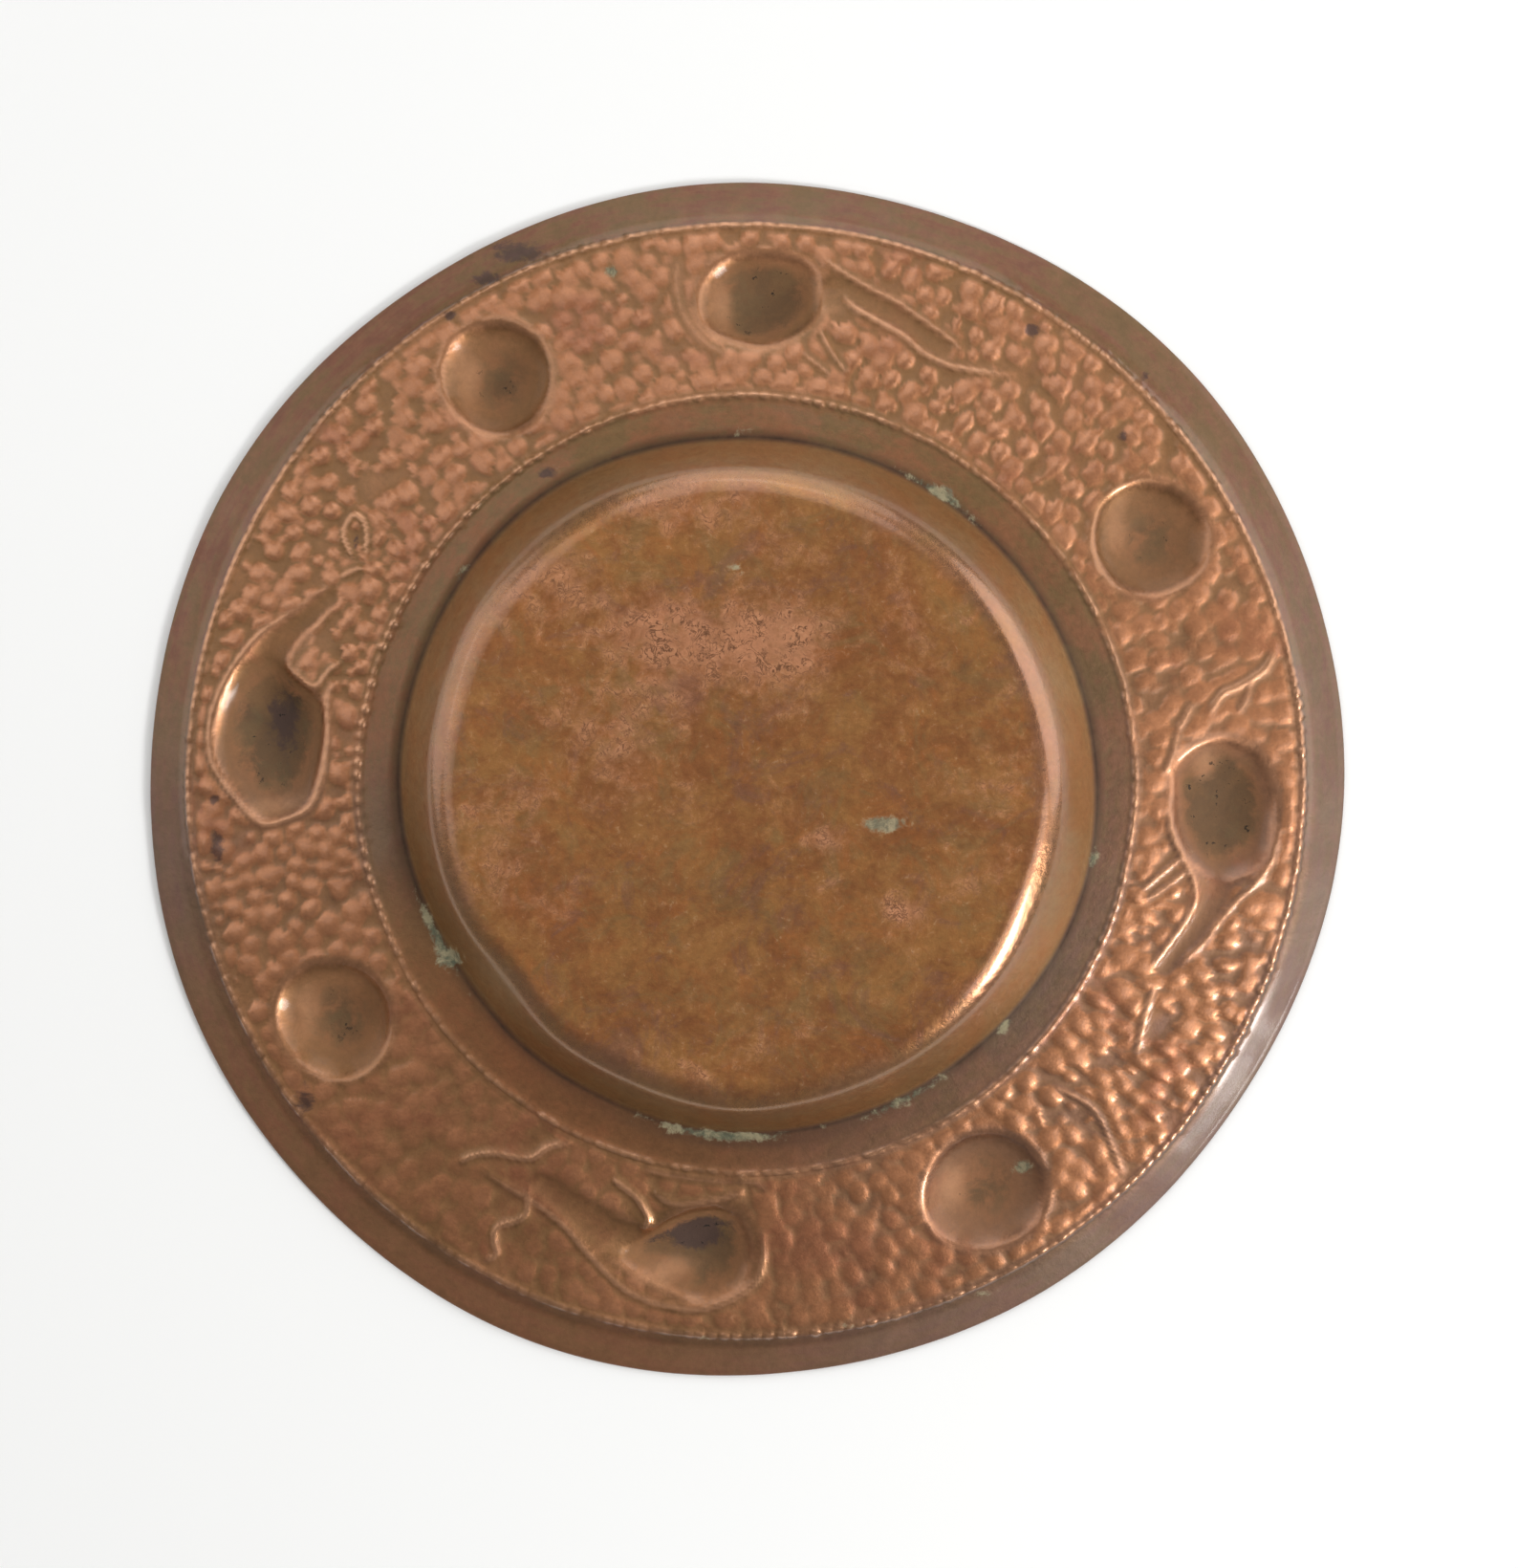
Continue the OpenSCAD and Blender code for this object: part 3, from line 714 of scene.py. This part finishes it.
def makeCopper():
    material = bpy.data.materials.new("agedCopper")
    material.use_nodes = True
    tree = material.node_tree
    tree.nodes.clear()
    bench = Bench(tree)
    f = finishes

    def stored(name, out=2):
        return bench.node("ShaderNodeAttribute", {"attribute_name": name}, out=out)

    def blotches(number, scale, detail=5.0, rough=0.6, twist=0.4):  # each number has its own places
        moved = bench.vector("ADD", place, (number * 0.31, number * 0.17, number * 0.23))
        return bench.noise(moved, scale, detail, rough, twist)

    place = bench.node("ShaderNodeTexCoord", out=3)
    home = stored("home", 1)
    away = bench.vector("LENGTH", home, out=1) / mm
    broad, patchy, fine = blotches(0, 24.0, 4.0), blotches(1, 75.0, 6.0, 0.68), blotches(2, 260.0, 6.0, 0.7)
    grain = blotches(3, 900.0, 4.0, 0.7)
    turned = bench.vector("SCALE", bench.vector("NORMALIZE", home), 16.0)
    lengthwise = bench.node("ShaderNodeCombineXYZ", {}, {"Z": away * 0.8})
    streaks = bench.noise(bench.vector("ADD", turned, lengthwise), 1.0, 5.0, 0.65)
    crevice, crest, crisp = stored("crevice"), stored("crest"), stored("crisp")

    # The back of the well: many browns, rubbed pink in places and crackled there
    worms = blotches(4, 540.0, 3.0, 0.6, 1.5) - 0.5       # thin lines run where this is nothing
    cracks = 1.0 - worms.sum("ABSOLUTE", worms).rise(0.0, 0.06)
    golden = (blotches(5, 55.0, 8.0, 0.7, 1.0) * 0.6 + fine * 0.4).rise(0.4, 0.6)
    disc = bench.tint(golden, f["brown"], f["gold"])
    disc = bench.tint(blotches(7, 120.0, 8.0, 0.72, 1.2).rise(0.48, 0.66) * 0.5, disc, f["orange"])
    disc = bench.tint(blotches(8, 100.0, 8.0, 0.72, 1.2).rise(0.48, 0.64) * 0.45, disc, f["moss"])
    plums = (blotches(9, 90.0, 8.0, 0.72, 1.2) + stored("dark") * 0.13).rise(0.52, 0.68)
    disc = bench.tint(plums * 0.5, disc, f["plum"])
    rubbed = (stored("rubbed") * 0.8 + (patchy - 0.5) * 2.6 + (fine - 0.5) * 2.2).rise(0.1, 1.1)
    disc = bench.tint(rubbed * 0.8, disc, f["rubbed"])
    disc = bench.tint((rubbed * 0.8 + 0.1) * cracks * fine.rise(0.42, 0.55), disc, f["dark"])
    disc = bench.tint(grain.rise(0.6, 0.72) * 0.22, disc, f["pale"])

    # Rim, ledge and wall: olive and red-brown, streaked round the tray, with a painted lilac reflection on
    # the rim and ledge at the lower right
    mottle = (broad * 0.25 + streaks * 0.35 + patchy * 0.45 + fine * 0.25 - 0.15).held()
    rim = bench.tint(mottle.rise(0.4, 0.6), f["rimOlive"], f["rimPlain"])
    rim = bench.tint((streaks * 0.6 + patchy * 0.6).rise(0.55, 0.75), rim, f["rimRed"])
    rim = bench.tint(stored("warm") * (0.5 + patchy * 0.6), rim, f["rimWarm"])
    ledge = bench.tint(mottle.rise(0.42, 0.6), f["ledgeOlive"], f["ledgeBrown"])
    # Painted reflection: a lilac haze of the window mirrored on the rim and ledge
    rim = bench.tint(stored("lilacReflection") * (0.4 + streaks), rim, f["rimLilacReflection"])
    ledge = bench.tint(stored("warm") * (0.4 + patchy * 0.8), ledge, f["ledgeWarm"])
    ledge = bench.tint(stored("lilacReflection") * (0.2 + streaks), ledge, f["rimLilacReflection"])
    plain = bench.tint(away.rise(middleR - 1, middleR + 1), ledge, rim)
    # The wall runs from grey-olive at the top to red-brown at the foot, partly its own colour and partly a
    # painted reflection
    lower = (away + (patchy - 0.5) * 8.0).rise(browR + 1.0, footR - 1.0)
    wall = bench.tint(lower, f["wallGrey"], f["wallRed"])
    wall = bench.tint(mottle.rise(0.4, 0.62) * 0.5, wall, f["brown"])

    # The border: pink-brown on the marks, darker between them, stained hollows with painted highlights on
    # their lit walls, and a painted lilac reflection on the ground at the lower right
    mark = (stored("mark") / mm).rise(0.02, 0.32)
    # Painted reflection: the ground between the marks turns lilac where the window is mirrored
    bottom = bench.tint(stored("lilacReflection"), f["bottom"], f["lilacReflection"])
    pebbles = bench.tint((mark + 0.35 + (patchy - 0.5) * 1.4 - crisp * 0.3).held(), bottom, f["slope"])
    tops = crest * (0.1 + crisp * 0.5) + (patchy - 0.5) * 1.2 + (fine - 0.5) * 0.5
    pebbles = bench.tint(tops.held(), pebbles, f["top"])
    pebbles = bench.tint(blotches(10, 60.0).rise(0.52, 0.68) * 0.5, pebbles, f["red"])
    lines = (stored("relief") / mm).rise(0.2, 0.6) * (0.25 + patchy * 0.7)
    pebbles = bench.tint(lines.held(), pebbles, f["lineTop"])
    sunk = stored("sunk")
    # Painted highlight: the lit wall of each hollow is lightened and its stain held back
    litHollowWall = stored("litHollowWall")
    darker = (sunk / 4.0 - litHollowWall * 0.5 + (patchy - 0.5) * 0.7 + (fine - 0.5) * 1.6).rise(0.4, 0.85)
    stained = bench.tint(darker, f["hollow"], f["hollowDark"])
    stained = bench.tint(blotches(11, 180.0, 6.0, 0.65).rise(0.5, 0.62) * 0.5, stained, f["hollowGreen"])
    pebbles = bench.tint(sunk.rise(1.2, 2.8) * 0.9, pebbles, stained)
    pebbles = bench.tint((litHollowWall * 1.1 + (fine - 0.5) * 1.4 - 0.2).held() * 0.7, pebbles, f["hollowHighlight"])

    # Each band in its place, from the rim inwards
    onBorder = away.rise(innerR - 0.8, innerR + 0.2) * (1.0 - away.rise(outerR - 0.2, outerR + 0.8))
    base = bench.tint(onBorder, plain, pebbles)
    base = bench.tint(1.0 - away.rise(footR - 0.6, footR + 0.2), base, wall)
    base = bench.tint(1.0 - (away + (patchy - 0.5) * 6.0).rise(browR - 3.0, browR + 2.5), base, disc)

    # Wear with a painted highlight on the shoulder, darker creases, dirt and painted shadow in the groove,
    # stains and green crusts over all of them
    shoulder = away.rise(browR - 4.0, browR - 1.0) * (1.0 - away.rise(browR + 0.5, browR + 3.5))
    # The shoulder is tinted as rubbed by wear and partly as a painted highlight, strongest where the lamps
    # catch it
    wornAndSheen = shoulder * (0.1 + (stored("handledAndLit") * 0.6 + (patchy - 0.5) * 1.6).held() * (0.4 + fine))
    base = bench.tint(wornAndSheen, base, f["polishedSheen"])
    beaded = away.rise(outerR - 1.3, outerR - 0.6) * (1.0 - away.rise(outerR + 0.6, outerR + 1.3))
    beaded = beaded + away.rise(innerR - 1.3, innerR - 0.6) * (1.0 - away.rise(innerR + 0.6, innerR + 1.3))
    # Darker in the creases between marks and dents, as found from the shape of the sheet
    base = bench.tint(crevice * 0.5 * (0.6 + fine) * (1.0 - beaded * 0.8), base, f["bottom"])
    bare = beaded * crest * (0.35 + patchy * 0.6)
    base = bench.tint(bare, base, f["lineTop"])
    # Dark groove: dirt in the narrow line, painted shadow of the wall in the wide part
    groove = (stored("groove") * (0.1 + patchy * 0.7 + fine * 0.7)).held()
    base = bench.tint(groove, base, f["groove"])
    outside = away.rise(browR + 1.0, browR + 4.0)
    stains = (stored("dark") * 1.2 + (fine - 0.5) * 2.4 + (patchy - 0.5) * 1.6).rise(0.35, 0.9)
    base = bench.tint(stains * outside * stored("dark").rise(0.02, 0.3) * 0.8, base, f["stain"])
    specks = (grain * 0.5 + fine * 0.6).rise(0.645, 0.675) * sunk.rise(1.6, 3.0)
    base = bench.tint(specks * 0.85, base, f["speck"])
    green = (stored("green") * 1.3 + (fine - 0.5) * 2.4 + (grain - 0.5) * 1.2 - 0.3).rise(0.2, 0.8)
    base = bench.tint(green * 0.85, base, bench.tint(fine.rise(0.42, 0.6), f["teal"], f["green"]))
    shade = 0.62 + grain * 0.5 + fine * 0.26
    shade = bench.node("ShaderNodeCombineXYZ", {}, {0: shade, 1: shade, 2: shade})
    base = bench.tint(1.0, base, shade, "MULTIPLY")

    # How it shines
    onRim = away.rise(outerR + 1.5, outerR + 3.0)
    besideBeads = away.rise(outerR + 0.1, outerR + 0.6) * (1.0 - away.rise(outerR + 1.5, outerR + 2.2))
    rough = (0.44 + (patchy - 0.5) * 0.3 + (grain - 0.5) * 0.15 + green * 0.35 + crevice * 0.15 - crest * 0.06
             - wornAndSheen * 0.2 - shoulder * 0.12 + sunk.rise(0.5, 1.6) * 0.25 + groove * 0.4 + onRim * 0.1
             - bare * 0.1).held()
    metal = (0.8 - onRim * 0.4 - sunk.rise(0.5, 1.6) * 0.3 - green * 0.8 - groove * 0.4
             - crevice * 0.25).held()
    varnish = (0.35 + shoulder * 0.3 + wornAndSheen * 0.5 + crest * 0.12 + bare * 0.4 + besideBeads * 0.5
               - onRim * 0.2 - green * 0.7 - groove - crevice * 0.3 - rubbed * 0.2
               - sunk.rise(0.8, 2.0) * 0.3).held()
    height = grain * 0.45 + fine * 0.8 + patchy * 0.7
    bump = bench.node("ShaderNodeBump", {}, {"Strength": 0.5, "Distance": 0.2 * mm, "Height": height})
    shader = bench.node("ShaderNodeBsdfPrincipled", {}, {
        "Base Color": base, "Metallic": metal, "Roughness": rough, "Coat Weight": varnish,
        "Coat Roughness": 0.12, "Normal": bump})
    bench.node("ShaderNodeOutputMaterial", {}, {"Surface": shader})
    return material


copper = makeCopper()
print("copper made")
trayMesh = beat(makeSheet(), copper)
addWear(trayMesh)
trayMesh.shade_smooth()
tray = bpy.data.objects.new("tray", trayMesh)
bpy.context.scene.collection.objects.link(tray)
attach(tray, "root")
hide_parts("tray_sheet")
print("tray beaten:", len(trayMesh.polygons), "faces")

# Table, light and camera. Lamps and table are in metres, and a lamp is (name, place, width, power).
studio = {
    "table": (0.92, 0.92, 0.91, 1), "tableHalf": 2, "sky": (1.0, 0.995, 0.985, 1), "skyStrength": 0.23,
    "lamps": [("rightPanel", (1.1, 0.35, 0.5), 1.2, 6.6), ("farPanel", (0.1, 1.15, 0.5), 1.2, 4.6),
              ("leftPanel", (-1.1, 0.35, 0.5), 1.2, 3.6), ("overLeft", (-0.5, 0.15, 0.95), 0.7, 1.3),
              ("overFar", (0.05, 0.6, 0.95), 0.7, 1.55), ("overRight", (0.7, -0.35, 0.9), 0.6, 1.7),
              ("window", (0.86, -0.56, 0.62), 0.32, 7.5)],
    "aim": (2.06, 0.2, 0), "distance": 550, "lean": 3.8, "lens": 75.34,
}


def makeTable():
    mesh = bpy.data.meshes.new("tableTop")
    far = studio["tableHalf"]
    mesh.from_pydata([(-far, -far, 0), (far, -far, 0), (far, far, 0), (-far, far, 0)], [], [(0, 1, 2, 3)])
    material = bpy.data.materials.new("paleTable")
    material.use_nodes = True
    shader = material.node_tree.nodes["Principled BSDF"]
    shader.inputs["Base Color"].default_value = studio["table"]
    shader.inputs["Roughness"].default_value = 0.9
    mesh.materials.append(material)
    table = bpy.data.objects.new("tableTop", mesh)
    bpy.context.scene.collection.objects.link(table)


def addLamp(name, place, size, watts, target=(0, 0, 0)):
    light = bpy.data.lights.new(name, "AREA")
    light.shape, light.size, light.energy = "DISK", size, watts
    lamp = bpy.data.objects.new(name, light)
    lamp.location = place
    lamp.rotation_mode = "QUATERNION"
    lamp.rotation_quaternion = (Vector(target) - Vector(place)).to_track_quat("-Z", "Y")
    bpy.context.scene.collection.objects.link(lamp)


def makeCamera():
    lens = bpy.data.cameras.new("eye")
    lens.lens, lens.sensor_width = studio["lens"], 36
    eye = bpy.data.objects.new("eye", lens)
    aim = Vector(studio["aim"]) * mm
    lean = math.radians(studio["lean"])
    eye.location = aim + Vector((0, math.sin(lean), math.cos(lean))) * studio["distance"] * mm
    eye.rotation_euler = (-lean, 0, 0)
    lens.clip_start = 0.01
    bpy.context.scene.collection.objects.link(eye)
    bpy.context.scene.camera = eye


world = bpy.data.worlds.new("studio")
world.use_nodes = True
world.node_tree.nodes["Background"].inputs["Color"].default_value = studio["sky"]
world.node_tree.nodes["Background"].inputs["Strength"].default_value = studio["skyStrength"]
bpy.context.scene.world = world
makeTable()
for name, place, size, watts in studio["lamps"]:
    addLamp(name, place, size, watts)
makeCamera()
bpy.context.scene.view_settings.view_transform = "Standard"
print("studio ready")
